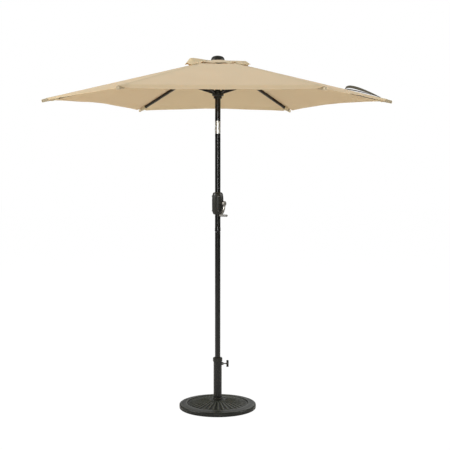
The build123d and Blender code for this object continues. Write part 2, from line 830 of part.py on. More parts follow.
tube_start = 24
cap_socket = 10
rib_bore_width = rib_width - 2 * rib_wall
rib_bore_height = rib_height - 2 * rib_wall
bracket_x = strut_reach
bracket_half = 13
ear = 2
pin_length = rib_width + 2 * ear
with BuildPart() as rib_tube:
    with BuildSketch(Plane.YZ.offset(tube_start)):
        RectangleRounded(rib_width, rib_height, 3)
        RectangleRounded(rib_bore_width, rib_bore_height, 1.8, mode=Mode.SUBTRACT)
    extrude(amount=rib_length - tip_cap_length + cap_socket - tube_start)

with BuildPart() as rib_end:
    with BuildSketch(Plane.XZ):
        Circle(8)
        with Locations((tube_start / 2, 0)):
            Rectangle(tube_start, 14)
    extrude(amount=eye_width / 2, both=True)
    with BuildSketch(Plane.YZ.offset(tube_start)):
        Rectangle(rib_bore_width - 0.2, rib_bore_height - 0.2)
    extrude(amount=22)
    fillet(rib_end.edges().filter_by(Axis.X), 1.6)
    with BuildSketch(Plane.XZ):
        Circle(pin_radius + fit)
    extrude(amount=10, both=True, mode=Mode.SUBTRACT)

# a saddle under the rib, whose ears hold the strut's pin
with BuildPart() as rib_bracket:
    with BuildSketch(Plane.XZ):
        with Locations((bracket_x, -strut_drop / 2)):
            Rectangle(2 * bracket_half, strut_drop)
        with Locations((bracket_x, -strut_drop)):
            Circle(6.5)
    extrude(amount=rib_width / 2 + ear, both=True)
    fillet(rib_bracket.edges().filter_by(Axis.Y).group_by(Axis.Z)[1], 4)
    with BuildSketch(Plane.XZ):
        with Locations((bracket_x, 0)):
            Rectangle(4 * bracket_half, rib_height)
        with Locations((bracket_x, -strut_drop - rib_height / 2 + 4)):
            Rectangle(4 * bracket_half, 22 + strut_drop - rib_height)
    extrude(amount=rib_width / 2, both=True, mode=Mode.SUBTRACT)
    with BuildSketch(Plane.XZ):
        with Locations((bracket_x, -strut_drop)):
            Circle(pin_radius)
    extrude(amount=20, both=True, mode=Mode.SUBTRACT)

with BuildPart() as rib_pin:
    with BuildSketch(Plane.XZ):
        with Locations((bracket_x, -strut_drop)):
            Circle(pin_radius)
    extrude(amount=pin_length / 2 + 1, both=True)

cap_start = rib_length - tip_cap_length
with BuildPart() as rib_cap:
    with BuildSketch(Plane.YZ.offset(cap_start)):
        RectangleRounded(rib_width + 4, rib_height + 4, 5)
    with BuildSketch(Plane.YZ.offset(rib_length)):
        RectangleRounded(rib_width + 1, rib_height, 5)
    loft()
    fillet(rib_cap.edges().group_by(Axis.X)[-1], 2.5)
    with BuildSketch(Plane.YZ.offset(cap_start)):
        Rectangle(rib_width + 0.2, rib_height + 0.2)
    extrude(amount=cap_socket, mode=Mode.SUBTRACT)

rib_solids = [rib_tube.part, rib_end.part, rib_bracket.part, rib_pin.part]
rib_turns = [place.orientation.Z for place in rib_places]
rib_place = Location((pivot_radius, 0, hub_z), (0, rib_slope, 0))
for number, turn in enumerate(rib_turns, 1):
    at = Location((0, 0, 0), (0, 0, turn)) * rib_place
    rib = Compound(label=f"rib_{number}", children=[piece.moved(at) for piece in rib_solids])
    export_step(rib, f"parts/rib_{number}.step")
    cap = rib_cap.part.moved(at)
    cap.label = f"tip_cap_{number}"
    export_step(cap, f"parts/tip_cap_{number}.step")

# struts, drawn along local x from the rib bracket to the runner
eye = 6.5
eye_solid = 18  # the strut is solid this far from each pin
strut_wall = 1.2
with BuildPart() as strut:
    with BuildSketch(Plane.XZ):
        SlotCenterToCenter(fold_arm, 2 * eye)
    extrude(amount=strut_width / 2, both=True)
    with BuildSketch(Plane.YZ.offset(eye_solid - fold_arm / 2)):
        Rectangle(strut_width - 2 * strut_wall, strut_height - 2 * strut_wall)
    extrude(amount=fold_arm - 2 * eye_solid, mode=Mode.SUBTRACT)
    with BuildSketch(Plane.XZ):
        with Locations((-fold_arm / 2, 0), (fold_arm / 2, 0)):
            Circle(pin_radius + fit)
    extrude(amount=20, both=True, mode=Mode.SUBTRACT)

for number, turn in enumerate(rib_turns, 1):
    middle = pivot_radius + fold_arm * cos(radians(arm_slope)) / 2
    height = (hub_z - fold_arm * sin(radians(arm_slope)) + runner_z) / 2
    at = Location((0, 0, 0), (0, 0, turn)) * Location((middle, 0, height), (0, -arm_slope, 0))
    piece = strut.part.moved(at)
    piece.label = f"strut_{number}"
    export_step(piece, f"parts/strut_{number}.step")

# canopy ---------------------------------------------------------------
# Each rib carries two half panels, which meet the next rib's halfway between
# the ribs. A panel lies flat between two ribs, so its half dips away from the rib.

half_turn = radians(180 / rib_count)
slope = radians(rib_slope)
dip = atan2(tan(half_turn) * sin(slope), 1)
spread = cos(dip) + tan(half_turn) * sin(dip) * sin(slope)


def seam_width(along):
    """Width of a half panel where it meets its neighbour, at a length along the rib."""
    return tan(half_turn) * (pivot_radius + along * cos(slope) + seat * sin(slope)) / spread


def seam_length(radius):
    """Length along the rib at which the seam is this far from the pole's axis."""
    reach = radius * cos(half_turn) - pivot_radius - seat * sin(slope)
    per_width = sin(dip) * sin(slope)
    return (reach + per_width * seam_width(0)) / (
        cos(slope) - per_width * (seam_width(1) - seam_width(0))
    )


panel_gap = 1.2
rib_edge = 4
hem = seam_length(hem_radius)
for number, turn in enumerate(rib_turns, 1):
    with BuildPart() as panel:
        for side in (-1, 1):
            at = (
                Location((0, 0, 0), (0, 0, turn))
                * rib_place
                * Location((0, 0, seat), (-side * degrees(dip), 0, 0))
            )
            with BuildSketch(Plane(at)):
                with BuildLine():
                    Polyline(
                        (panel_start, side * rib_edge),
                        (panel_end, side * rib_edge),
                        (panel_end, side * (rib_edge + 8)),
                        (hem, side * (seam_width(hem) - panel_gap)),
                        (panel_start, side * (seam_width(panel_start) - panel_gap)),
                        close=True,
                    )
                make_face()
            extrude(amount=fabric)
    panel.part.label = f"panel_{number}"
    export_step(panel.part, f"parts/panel_{number}.step")

# tie strap: a loop of webbing sewn to the canopy over rib 1
strap_width = 25
strap_start = 835
strap_end = 1040
strap_rise = 24
strap_thickness = 1.5
strap_plane = Plane(
    (pivot_radius, strap_width / 2, hub_z),
    x_dir=(cos(slope), 0, -sin(slope)),
    z_dir=(0, -1, 0),
)
strap_foot = seat + fabric + 1.5
with BuildPart() as tie_strap:
    with BuildSketch(strap_plane):
        with BuildLine():
            for lift in (0, strap_thickness):
                Spline(
                    (strap_start, strap_foot + lift),
                    (strap_start + 55, strap_foot + strap_rise + lift),
                    (strap_start + 130, strap_foot + 7 + lift),
                    (strap_end, strap_foot + 0.8 + lift),
                    tangents=((1, 1.1), (1, -0.05)),
                )
            for along, rise in ((strap_start, 0), (strap_end, 0.8)):
                Line((along, strap_foot + rise), (along, strap_foot + rise + strap_thickness))
        make_face()
    extrude(amount=strap_width)
tie_strap.part.label = "tie_strap"
export_step(tie_strap.part, "parts/tie_strap.step")
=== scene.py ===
import json
import math

import bpy
import numpy as np
from mathutils import Matrix, Vector


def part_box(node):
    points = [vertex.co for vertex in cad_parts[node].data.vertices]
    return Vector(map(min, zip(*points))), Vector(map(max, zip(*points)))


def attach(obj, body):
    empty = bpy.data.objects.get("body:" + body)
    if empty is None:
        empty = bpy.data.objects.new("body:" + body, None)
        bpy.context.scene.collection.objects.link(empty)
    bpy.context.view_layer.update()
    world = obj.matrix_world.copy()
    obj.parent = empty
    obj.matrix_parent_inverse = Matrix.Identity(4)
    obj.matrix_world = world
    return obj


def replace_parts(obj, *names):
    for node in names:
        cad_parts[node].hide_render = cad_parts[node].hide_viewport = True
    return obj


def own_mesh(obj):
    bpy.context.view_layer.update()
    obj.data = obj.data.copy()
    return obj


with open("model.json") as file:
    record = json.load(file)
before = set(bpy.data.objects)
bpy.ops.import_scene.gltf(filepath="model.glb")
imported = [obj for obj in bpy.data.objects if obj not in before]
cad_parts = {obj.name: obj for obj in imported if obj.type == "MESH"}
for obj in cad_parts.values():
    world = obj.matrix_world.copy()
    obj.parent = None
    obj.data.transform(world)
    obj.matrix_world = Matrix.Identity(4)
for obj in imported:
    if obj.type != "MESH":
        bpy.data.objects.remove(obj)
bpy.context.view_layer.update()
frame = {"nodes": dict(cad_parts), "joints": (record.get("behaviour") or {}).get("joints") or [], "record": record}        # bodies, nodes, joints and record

# Patio umbrella with a round weighted stand, in metres. Rib 1 points along +X, and the
# numbers run anticlockwise from above.


ribCount = 6
halfTurn = math.pi / ribCount
scene = bpy.context.scene
print("frame:", len(frame["nodes"]), "nodes")


def jointNamed(name):
    return next(j for j in frame["joints"] if j["name"] == name)


# ---- meshes from arrays

def gridQuads(rows, cols, wrap=False):
    # corner numbers of every quad of a rows x cols grid; wrap joins the last column to the first
    index = np.arange(rows * cols).reshape(rows, cols)
    if wrap:
        index = np.hstack([index, index[:, :1]])
    corners = [index[:-1, :-1], index[1:, :-1], index[1:, 1:], index[:-1, 1:]]
    return np.stack(corners, -1).reshape(-1, 4)


def meshFrom(name, points, quads, uvs=None):
    # one object at the origin from vertex rows and quad rows; uvs is {layer: per-vertex pairs}
    points = np.asarray(points, float).reshape(-1, 3)
    mesh = bpy.data.meshes.new(name)
    mesh.from_pydata(points.tolist(), [], np.asarray(quads).tolist())
    mesh.validate()
    corners = np.zeros(len(mesh.loops), np.int32)
    mesh.loops.foreach_get("vertex_index", corners)
    for layer, pairs in (uvs or {}).items():
        perVertex = np.asarray(pairs, float).reshape(-1, 2)
        mesh.uv_layers.new(name=layer).data.foreach_set("uv", perVertex[corners].ravel())
    mesh.polygons.foreach_set("use_smooth", np.ones(len(mesh.polygons), bool))
    mesh.update()
    piece = bpy.data.objects.new(name, mesh)
    scene.collection.objects.link(piece)
    return piece


def gridNormals(points):
    # unit normals of a grid of points, from the differences along its two directions
    normal = np.cross(np.gradient(points, axis=0), np.gradient(points, axis=1))
    return normal / np.maximum(np.linalg.norm(normal, axis=-1, keepdims=True), 1e-12)


def shellFrom(name, top, bottom, uvs=None):
    # a closed sheet: two grids of the same size, joined all round their edge
    rows, cols = top.shape[:2]
    quads = gridQuads(rows, cols)
    index = np.arange(rows * cols).reshape(rows, cols)
    rim = np.concatenate([index[:-1, 0], index[-1, :-1], index[:0:-1, -1], index[0, :0:-1]])
    after = np.roll(rim, -1)
    count = rows * cols
    outward = np.sum(gridNormals(top) * (top - bottom))
    sides = np.stack([rim, rim + count, after + count, after], -1)
    faces = np.vstack([quads, quads[:, ::-1] + count, sides[:, ::-1]])
    if outward < 0:
        faces = faces[:, ::-1]
    doubled = {layer: np.concatenate([np.reshape(p, (-1, 2))] * 2) for layer, p in (uvs or {}).items()}
    points = np.concatenate([top.reshape(-1, 3), bottom.reshape(-1, 3)])
    piece = meshFrom(name, points, faces, doubled)
    ends = np.zeros(len(piece.data.edges) * 2, np.int32)
    piece.data.edges.foreach_get("vertices", ends)
    onRim = np.isin(ends % count, rim).reshape(-1, 2).all(1)
    piece.data.edges.foreach_set("use_edge_sharp", onRim)
    return piece


def smoothStep(low, high, value):
    # 0 at low, 1 at high, and 3t^2 - 2t^3 between; low may be the larger
    t = np.clip((value - low) / (high - low), 0, 1)
    return t * t * (3 - 2 * t)


def sheetArea(points):
    # area of a grid of points: half the cross product of each quad's diagonals
    a, b = points[1:, 1:] - points[:-1, :-1], points[1:, :-1] - points[:-1, 1:]
    return float(np.linalg.norm(np.cross(a, b), axis=-1).sum() / 2)


# ---- materials

class Link:
    # one shader socket; arithmetic on it adds Math nodes
    def __init__(self, maker, socket):
        self.maker = maker
        self.socket = socket

    def math(self, operation, *others):
        terms = dict(enumerate((self, *others)))
        return self.maker.node("ShaderNodeMath", terms, operation=operation)

    def __add__(self, other):
        return self.math("ADD", other)

    def __mul__(self, other):
        return self.math("MULTIPLY", other)

    def __sub__(self, other):
        return self.math("SUBTRACT", other)

    def __rsub__(self, other):
        return self.maker.node("ShaderNodeMath", {0: other, 1: self}, operation="SUBTRACT")

    __radd__ = __add__
    __rmul__ = __mul__

    def sin(self):
        return self.math("SINE")

    def absolute(self):
        return self.math("ABSOLUTE")

    def below(self, edge):
        return self.math("LESS_THAN", edge)

    def above(self, edge):
        return self.math("GREATER_THAN", edge)


class Maker:
    # one material and its nodes
    def __init__(self, name):
        self.material = bpy.data.materials.new(name)
        self.material.use_nodes = True
        self.tree = self.material.node_tree
        self.tree.nodes.clear()

    def node(self, kind, sockets=None, out=0, **settings):
        made = self.tree.nodes.new(kind)
        for key, value in settings.items():
            setattr(made, key, value)
        for key, value in (sockets or {}).items():
            if isinstance(value, Link):
                self.tree.links.new(value.socket, made.inputs[key])
            else:
                made.inputs[key].default_value = value
        return Link(self, made.outputs[out]) if made.outputs else made

    def coords(self, scale=(1, 1, 1)):
        place = self.node("ShaderNodeTexCoord", out=3)  # Object coordinates
        return self.node("ShaderNodeMapping", {"Vector": place, "Scale": scale})

    def noise(self, scale, detail):
        return self.node("ShaderNodeTexNoise", {
            "Vector": self.coords(), "Scale": scale, "Detail": detail})

    def uv(self, layer):
        # the two numbers of a UV layer, apart
        split = self.node("ShaderNodeSeparateXYZ", {0: self.node("ShaderNodeUVMap", uv_map=layer)})
        return split, Link(self, split.socket.node.outputs[1])

    def mix(self, factor, first, second):
        return self.node("ShaderNodeMix", {0: factor, 6: first, 7: second}, out=2, data_type="RGBA")

    def bump(self, height, strength, distance):
        return self.node("ShaderNodeBump", {
            "Height": height, "Strength": strength, "Distance": distance})

    def finish(self, surface):
        self.node("ShaderNodeOutputMaterial", {"Surface": surface})
        return self.material


def linear(red, green, blue):
    # screen colour, 0 to 255, to scene colour
    values = [v / 255 for v in (red, green, blue)]
    return tuple(v / 12.92 if v < 0.04045 else ((v + 0.055) / 1.055) ** 2.4 for v in values) + (1,)


def scaled(color, by):
    # a colour made darker or lighter
    return tuple(min(1, v * by) for v in color[:3]) + (1,)


cloth = {
    "color": linear(223, 212, 175),
    "shade": linear(210, 197, 160),
    "through": linear(228, 180, 112),  # what comes through the weave
    "throughShare": 0.33,
    "thread": 0.0011,
    "slubs": (900, 14, 1),  # how closely slubs come across and along the warp
    "stitch": 0.0042,
    "stitchColor": linear(170, 150, 118),
    "stitchHalfWidth": 0.00035,
    "seamStitches": (0.0022, 0.0078),
    "hemStitch": 0.0155,
    "roughness": 0.86,
    "relief": (0.1, 0.0002),  # bump strength and depth
}


def clothMaterial(name, color, shade):
    # plain-woven polyester: threads both ways, slubs along the warp, and rows of stitches
    m = Maker(name)
    across, along = m.uv("weave")
    seam, hem = m.uv("edges")
    step = 2 * math.pi / cloth["thread"]
    warp = (across * step).sin()
    weft = (along * step).sin()
    weave = warp * weft
    stretched = m.node("ShaderNodeMapping", {
        "Vector": m.node("ShaderNodeUVMap", uv_map="weave"), "Scale": cloth["slubs"]})
    slub = m.node("ShaderNodeTexNoise", {"Vector": stretched, "Scale": 1, "Detail": 2})
    cloud = m.noise(5, 4)
    tone = weave * 0.09 + slub * 0.55 + cloud * 0.5 - 0.1
    dash = ((along + across) * (2 * math.pi / cloth["stitch"])).sin().above(-0.35)
    near = cloth["stitchHalfWidth"]
    rows = [(seam - place).absolute().below(near) for place in cloth["seamStitches"]]
    rows.append((hem - cloth["hemStitch"]).absolute().below(near))
    stitches = (rows[0] + rows[1] + rows[2]) * dash
    base = m.mix(tone, shade, color)
    base = m.mix(stitches * 0.55, base, cloth["stitchColor"])
    relief = m.bump(weave * 0.5 + slub * 0.3 - stitches * 1.2, *cloth["relief"])
    body = m.node("ShaderNodeBsdfPrincipled", {
        "Base Color": base, "Roughness": cloth["roughness"], "Normal": relief,
        "Sheen Weight": 0.15, "Sheen Roughness": 0.5, "Specular IOR Level": 0.25})
    through = m.node("ShaderNodeBsdfTranslucent", {"Color": cloth["through"]})
    return m.finish(m.node("ShaderNodeMixShader", {0: cloth["throughShare"], 1: body, 2: through}))


coat = {
    "mottle": 38,       # noise scales, per metre
    "rub": 7,
    "rubStart": 0.62,
    "rubGain": 1.1,
    "rubLight": 1.5,
    "specular": 0.34,
    "peel": (0.25, 0.0004),
}


def coatMaterial(name, color, light, roughness, grain):
    # powder coat: fine orange peel, with a faint lighter mottle and a few rubbed spots
    m = Maker(name)
    peel = m.noise(grain, 2)
    mottle = m.noise(coat["mottle"], 5)
    rub = m.noise(coat["rub"], 6)
    base = m.mix(mottle * 0.8 - 0.1, color, light)
    base = m.mix((rub - coat["rubStart"]) * coat["rubGain"], base, scaled(light, coat["rubLight"]))
    return m.finish(m.node("ShaderNodeBsdfPrincipled", {
        "Base Color": base, "Roughness": peel * 0.16 + (roughness - 0.08),
        "Specular IOR Level": coat["specular"], "Normal": m.bump(peel, *coat["peel"])}))


def metalMaterial(name, color, roughness, brush=(40, 40, 900), level=0.05):
    # metal with fine turned or drawn lines; brush is how closely they come along each axis
    m = Maker(name)
    lines = m.node("ShaderNodeTexNoise", {"Vector": m.coords(brush), "Scale": 1, "Detail": 3})
    smear = m.noise(22, 4)
    base = m.mix(smear * 0.5 + lines * 0.3 - 0.1, scaled(color, 0.78), color)
    return m.finish(m.node("ShaderNodeBsdfPrincipled", {
        "Base Color": base, "Metallic": 1.0, "Normal": m.bump(lines, level, 0.0003),
        "Roughness": lines * 0.2 + (roughness - 0.1) + smear * 0.05}))


def plasticMaterial(name, color, roughness):
    # moulded plastic with a spark-eroded grain
    m = Maker(name)
    grain = m.noise(1400, 2)
    flow = m.noise(16, 3)
    base = m.mix(flow * 0.7, scaled(color, 0.8), color)
    return m.finish(m.node("ShaderNodeBsdfPrincipled", {
        "Base Color": base, "Roughness": grain * 0.18 + (roughness - 0.09),
        "Specular IOR Level": 0.3, "Normal": m.bump(grain, 0.18, 0.0003)}))


def stoneMaterial(name, low, high):
    # cast stand with a dark bronze coat: pitted casting skin, rubbed lighter where it stands proud, and
    # a painted highlight along the rim's upper edge
    m = Maker(name)
    height, _ = m.uv("relief")
    pits = m.node("ShaderNodeTexVoronoi", {"Vector": m.coords(), "Scale": 260.0})
    skin = m.noise(120, 6)
    cloud = m.noise(9, 5)
    # height lightens the rubbed rays and ring, and also paints the highlight along the rim's upper edge
    base = m.mix(height * 0.75 + skin * 0.35 + cloud * 0.3 - 0.32, low, high)
    rough = skin * 0.25 + 0.3
    return m.finish(m.node("ShaderNodeBsdfPrincipled", {
        "Base Color": base, "Roughness": rough - height * 0.06, "Specular IOR Level": 0.28,
        "Normal": m.bump(skin * 0.7 + pits * 0.4, 0.3, 0.0007)}))


def webbingMaterial(name, color):
    # ribbed woven tape
    m = Maker(name)
    across, along = m.uv("weave")
    ribStep, chainStep = 0.0018, 0.0026
    rib = (along * (2 * math.pi / ribStep)).sin()
    chain = (across * (2 * math.pi / chainStep)).sin()
    base = m.mix(rib * chain * 0.3 + 0.5, scaled(color, 0.6), color)
    return m.finish(m.node("ShaderNodeBsdfPrincipled", {
        "Base Color": base, "Roughness": 0.8, "Normal": m.bump(rib * chain, 0.5, 0.0004)}))


# one finish for each material slot of the record
finishes = {
    "base_finish": coatMaterial("baseCoat", linear(60, 61, 56), linear(78, 79, 72), 0.46, 420),
    "pole_finish": coatMaterial("poleCoat", linear(13, 13, 11), linear(19, 19, 16), 0.21, 1300),
    "frame_finish": coatMaterial("frameCoat", linear(22, 18, 12), linear(32, 27, 18), 0.5, 1200),
    "dark_plastic": plasticMaterial("housingPlastic", linear(30, 30, 24), 0.42),
    "tip_plastic": plasticMaterial("tipPlastic", linear(186, 171, 141), 0.5),
    "bright_metal": metalMaterial("tiltCasting", linear(238, 240, 237), 0.36, (60, 60, 60), 0.12),
    "crank_metal": metalMaterial("crankPlate", linear(138, 135, 128), 0.42, (500, 500, 60)),
    "grip_plastic": plasticMaterial("gripPlastic", linear(122, 121, 118), 0.5),
    "hardware": metalMaterial("zincHardware", linear(98, 98, 94), 0.42),
    "canopy_fabric": clothMaterial("canopyCloth", cloth["color"], cloth["shade"]),
    "strap_webbing": webbingMaterial("strapWebbing", linear(86, 79, 60)),
    "lift_cord": webbingMaterial("liftCord", linear(92, 90, 84)),
}
stoneCoat = stoneMaterial("standCoat", linear(17, 19, 14), linear(66, 68, 57))
nodeSlots = {}
for row in frame["record"]["materials"]:
    for member in row.get("nodes", []):
        nodeSlots[member] = row["slot"]
for name, node in frame["nodes"].items():
    for place in node.material_slots:
        slotName = nodeSlots.get(name, place.material.name if place.material else "pole_finish")
        place.material = finishes.get(slotName.split(".")[0], finishes["pole_finish"])
print("materials:", len(finishes) + 1)


def dress(piece, material):
    # gives a new piece its finish
    piece.data.materials.append(material)
    return piece


# ---- canopy

ribs = {
    "pivot": float(np.hypot(*jointNamed("canopy_fold")["pos_m"][:2])),
    "height": float(jointNamed("canopy_fold")["pos_m"][2]),
    "slope": math.radians(13),
    "seat": 0.0112,  # cloth above the rib's centreline
}
cosSlope, sinSlope = math.cos(ribs["slope"]), math.sin(ribs["slope"])
dip = math.atan(math.tan(halfTurn) * sinSlope)
spread = math.cos(dip) + math.tan(halfTurn) * math.sin(dip) * sinSlope


def ribTurn(number):
    return (number - 1) * 2 * halfTurn


def fromRib(points, number):
    # rib coordinates (along the rib, to its left, up from it) to the row frame
    x, y, z = np.moveaxis(np.asarray(points, float), -1, 0)
    reach = ribs["pivot"] + x * cosSlope + z * sinSlope
    height = ribs["height"] - x * sinSlope + z * cosSlope
    c, s = math.cos(ribTurn(number)), math.sin(ribTurn(number))
    return np.stack([reach * c - y * s, reach * s + y * c, height], -1)


def seamWidth(along):
    # half the width of a gore at a length along the rib, measured in the panel's plane
    reach = ribs["pivot"] + along * cosSlope + ribs["seat"] * sinSlope
    return math.tan(halfTurn) * reach / spread


canopy = {
    "start": 0.135,
    "tip": {1: 1.109, 2: 1.128, 3: 1.128, 4: 1.109, 5: 1.130, 6: 1.130},
    # by gore: length along the rib where the hem meets the middle, sag, and the hem's drop
    "hemMiddle": {1: 0.822, 2: 0.824, 3: 0.822, 4: 0.832, 5: 0.840, 6: 0.834},
    "sag": {1: 0.001, 2: 0.003, 3: 0.001, 4: 0.004, 5: 0.007, 6: 0.005},
    "turnDown": {1: 0.000, 2: 0.004, 3: 0.000, 4: 0.006, 5: 0.014, 6: 0.007},
    "cornerDrop": 0.014,
    "bow": 0.006,
    "sagPower": 1.4,
    "ripple": 0.0011,
    "ripplePitch": 19,    # radians per metre along the rib
    "rippleShift": 1.7,   # from one gore to the next
    "thickness": 0.0009,
    "foldedOver": 0.00055,  # what a seam or hem adds on top
    "seamBand": 0.0095,
    "seamColumns": (0, 0.001, 0.004, 0.007, 0.0085),
    "hemBand": 0.018,
    "hemRows": (0.0012, 0.003, 0.010, 0.0165),
    "rows": 74,
    "columns": 42,
    "keep": {1: 0.27, -1: 0.182},  # outer and inner halves of a fold when it is shut
    "swirl": math.radians(0.9),
}


def halfPanel(number, side):
    # A half gore. Columns run from the rib to the gore's middle, rows from the top opening to the
    # hem. Width is a share of seamWidth. Height is the sum of a sag that grows from the rib to the
    # middle, slow ripples, and a drop near the hem. Seam and hem are thicker bands.
    c = canopy
    band = c["seamBand"]
    bandWidths = np.array([*c["seamColumns"], band])
    share = np.concatenate([np.zeros(len(bandWidths)), np.linspace(0, 1, c["columns"])[1:]])
    fixed = np.concatenate([bandWidths, np.full(c["columns"] - 1, band)])
    perLength = seamWidth(1) - seamWidth(0)
    gore = number if side > 0 else (number - 2) % ribCount + 1
    tip = c["tip"][number]
    middle = c["hemMiddle"][gore] + c["bow"]
    slopeOfHem = (tip - middle) / seamWidth(middle)
    width = fixed * (1 - share) + share * (seamWidth(0) + perLength * tip)
    width = width / (1 + share * perLength * slopeOfHem)
    inward = 1 - (1 - width / width[-1]) ** 2
    hemLine = tip - slopeOfHem * width - c["bow"] * inward
    lengths = np.linspace(0, 1, c["rows"])[:, None] * (hemLine - c["hemBand"] - c["start"]) + c["start"]
    hemRows = np.array([*c["hemRows"], c["hemBand"]])[:, None]
    along = np.vstack([lengths, (hemLine - c["hemBand"])[None] + hemRows])
    across = fixed * (1 - share) + share * (seamWidth(0) + perLength * along)
    fromHem = hemLine - along
    part = share[None] * np.ones_like(along)
    sag = c["sag"][gore] * (along / c["hemMiddle"][gore]) ** c["sagPower"] * (1 - (1 - part) ** 2)
    phase = gore * c["rippleShift"]
    wave = np.sin(along * c["ripplePitch"] + phase) * np.sin(part * math.pi / 2) ** 2
    pull = np.sin(part * 3 * math.pi) * smoothStep(0.16, 0.0, fromHem) * smoothStep(0, 0.2, 1 - part)
    drop = c["turnDown"][gore] + (c["cornerDrop"] - c["turnDown"][gore]) * (1 - part) ** 3
    turned = drop * smoothStep(0.010, 0.038, part) * smoothStep(0.07, -0.01, fromHem)
    lift = -sag + c["ripple"] * (wave + 0.8 * pull) - turned
    flat = np.stack([along, side * across * math.cos(dip),
                     ribs["seat"] - across * math.sin(dip) + lift], -1)
    seamThick = c["foldedOver"] * smoothStep(band, band - 0.0012, across)
    hemThick = c["foldedOver"] * smoothStep(0.0172, 0.0150, fromHem)
    rise = c["thickness"] / 2 + seamThick + hemThick
    upward = gridNormals(flat)
    upward = upward * np.sign(upward[..., 2:3])
    under = c["thickness"] / 2 + hemThick * 0.4
    top, bottom = flat + upward * rise[..., None], flat - upward * under[..., None]
    uvs = {"weave": np.stack([across * side, along], -1), "edges": np.stack([across, fromHem], -1)}
    name = "canopy_" + str(number) + ("_left" if side > 0 else "_right")
    piece = shellFrom(name, fromRib(top, number), fromRib(bottom, number), uvs)
    return piece, sheetArea(flat), (float(np.max(across)), float(np.ptp(along)))


pocket = {
    "start": 1.028,
    "end": 1.0805,
    "halfWidth": 0.0125,
    "depth": 0.0225,
    "cloth": 0.001,
    "seamHeight": 0.0095,
    "pucker": 0.06,
    "puckerPitch": 180,
}


def tipPocket(number):
    # a sewn sleeve round the rib's end: a U of cloth under the rib, from seam to seam
    p = pocket
    angle = np.linspace(0, math.pi, 25)[None, :]
    length = np.linspace(p["start"], p["end"], 12)[:, None]
    squeeze = 1 + p["pucker"] * np.sin((length - p["start"]) * p["puckerPitch"])

    def sleeve(grow):
        x = length + 0 * angle
        y = (p["halfWidth"] + grow) * np.cos(angle) * squeeze
        z = p["seamHeight"] - (p["depth"] + grow) * np.sin(angle) ** 0.7 * squeeze
        return np.stack([x, y, z], -1)

    outer, inner = sleeve(p["cloth"]), sleeve(0)
    weave = np.stack(np.broadcast_arrays(length + 0 * angle, angle * p["halfWidth"]), -1)
    fromEnd = length + 0 * angle - p["start"] + 0.0125
    edges = np.stack([np.full(weave.shape[:2], 0.1), fromEnd], -1)  # no seam near, one row of stitches
    return shellFrom(f"pocket_{number}", fromRib(outer, number), fromRib(inner, number),
                     {"weave": weave, "edges": edges})


clothFinish = finishes["canopy_fabric"]
for number in range(1, ribCount + 1):
    sleeve = dress(tipPocket(number), clothFinish)
    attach(sleeve, f"rib_{number}")
    for side in (1, -1):
        panel, area, (width, length) = halfPanel(number, side)
        dress(panel, clothFinish)
        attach(panel, f"rib_{number}")
        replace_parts(panel, f"panel_{number}")
        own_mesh(panel)
print("canopy: 12 half panels")

# ---- top tier

vent = {
    "inner": 0.034,
    "corner": 0.215,
    "rows": 46,
    "columns": 44,
    "foot": float(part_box("finial")[0].z) - 0.0012,  # just under the cap
    "thickness": 0.0009,
    "keep": 0.33,
    # how far the shoulder stands up beside each rib, how far its rim drops, and how much of
    # the fall towards the hem the rib holds up
    "peak": {1: 0.004, 2: 0.004, 3: 0.005, 4: 0.016, 5: -0.001, 6: -0.002},
    "droop": {1: 0.020, 2: 0.018, 3: 0.016, 4: 0.038, 5: 0.0, 6: 0.002},
    "hold": {1: 0.7, 2: 0.5, 3: 0.5, 4: 1.0, 5: 0.05, 6: 0.1},
    "fall": 0.035,
    "fallPower": 1.25,
    "crest": 0.82,       # where along the piece the shoulder is highest
    "wave": 0.0040,
}


def ventPiece(number):
    # A sixth of the top tier, from halfway to one neighbour to halfway to the other. The height is
    # the sum of a fall from the cap, a swell along the rib that peaks inside the rim, the rim's turn
    # down, and a wave along the hem. All but the fall die out halfway between two ribs.
    v = vent
    turn = np.linspace(-1, 1, v["columns"])[None, :]
    angle = turn * halfTurn
    edge = v["corner"] * math.cos(halfTurn) / np.cos(halfTurn - np.abs(angle))
    t = np.linspace(0, 1, v["rows"])[:, None]
    radius = v["inner"] + (edge - v["inner"]) * t
    near = np.cos(turn * math.pi / 2) ** 2
    swell = v["peak"][number] * near * np.sin(np.clip(t / v["crest"], 0, 1) * math.pi / 2) ** 2
    fall = v["fall"] * (1 - near * v["hold"][number]) * t ** v["fallPower"]
    rim = v["droop"][number] * near * smoothStep(0.80, 1.02, t)
    wander = np.sin(turn * math.pi * 2.5 + number * 1.3)
    wander = wander + 0.5 * np.sin(turn * math.pi * 4.5 + number * 2.1 + t * 3)
    ripple = v["wave"] * wander * smoothStep(0.68, 1, t) * (1 - turn ** 2)
    height = v["foot"] + swell - fall - rim + ripple
    c, s = np.cos(angle + ribTurn(number)), np.sin(angle + ribTurn(number))
    middle = np.stack([radius * c, radius * s, height], -1)
    normal = gridNormals(middle)
    normal = normal * np.sign(normal[..., 2:3])
    hem = edge - radius
    thick = v["thickness"] / 2 + 0.0004 * smoothStep(0.014, 0.012, hem)
    uvs = {"weave": np.stack([radius * angle, radius], -1),
           "edges": np.stack([np.abs(radius * angle) + 0.0005, hem + 0.003], -1)}
    half = normal * thick[..., None]
    return shellFrom(f"vent_{number}", middle + half, middle - half, uvs), sheetArea(middle)


for number in range(1, ribCount + 1):
    piece, area = ventPiece(number)
    dress(piece, clothFinish)
    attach(piece, f"rib_{number}")
    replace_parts(piece, "vent_canopy")
    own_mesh(piece)
print("top tier: 6 pieces")

# ---- tie strap

strap = {
    "width": 0.025,
    "thickness": 0.0016,
    "start": 0.822,
    "end": 1.060,
    "foot": 0.0030,     # above the cloth
    "rise": 0.0240,
    "lowerRise": 0.0050,
    "twist": (0.85, 0.32),  # radians, upper and lower
}


